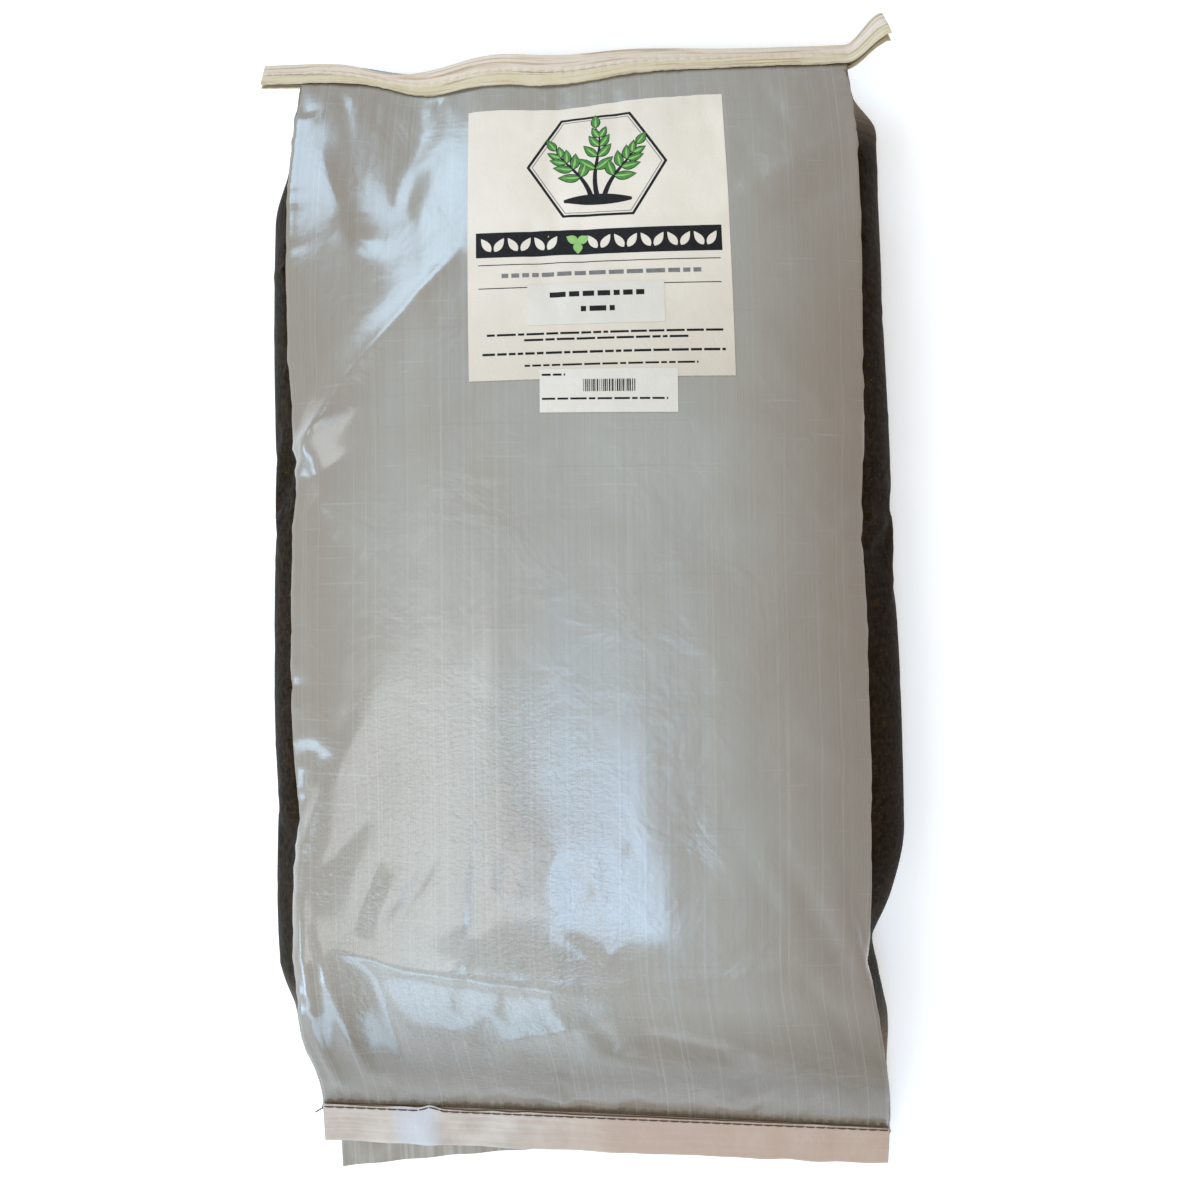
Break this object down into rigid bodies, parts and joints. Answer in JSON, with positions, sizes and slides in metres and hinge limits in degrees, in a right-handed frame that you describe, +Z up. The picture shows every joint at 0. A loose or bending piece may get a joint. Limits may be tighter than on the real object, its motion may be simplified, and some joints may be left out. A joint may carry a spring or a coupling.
{
  "type": "compost bag",
  "caption": "Full side-gusseted woven film compost sack with a sewn paper tape closure and a front label.",
  "frame": {"origin": "on the floor, under the middle of the whole bag's box", "axes": "+Z up out of the front panel, +Y along the bag towards its mouth, +X to the reader's right"},
  "size_m": [0.4344, 0.7948, 0.1393],
  "materials": {
    "woven_film": "gloss",
    "crepe_paper": "matte",
    "sewing_thread": "matte",
    "label_paper": "matte"
  },
  "bodies": {
    "root": {"sack": "woven_film", "closure_tape": "crepe_paper", "mouth_needle_thread": "sewing_thread", "mouth_looper_thread": "sewing_thread", "hem_needle_thread": "sewing_thread", "hem_looper_thread": "sewing_thread", "label": "label_paper", "name_sticker": "label_paper", "code_sticker": "label_paper"}
  },
  "joints": []
}
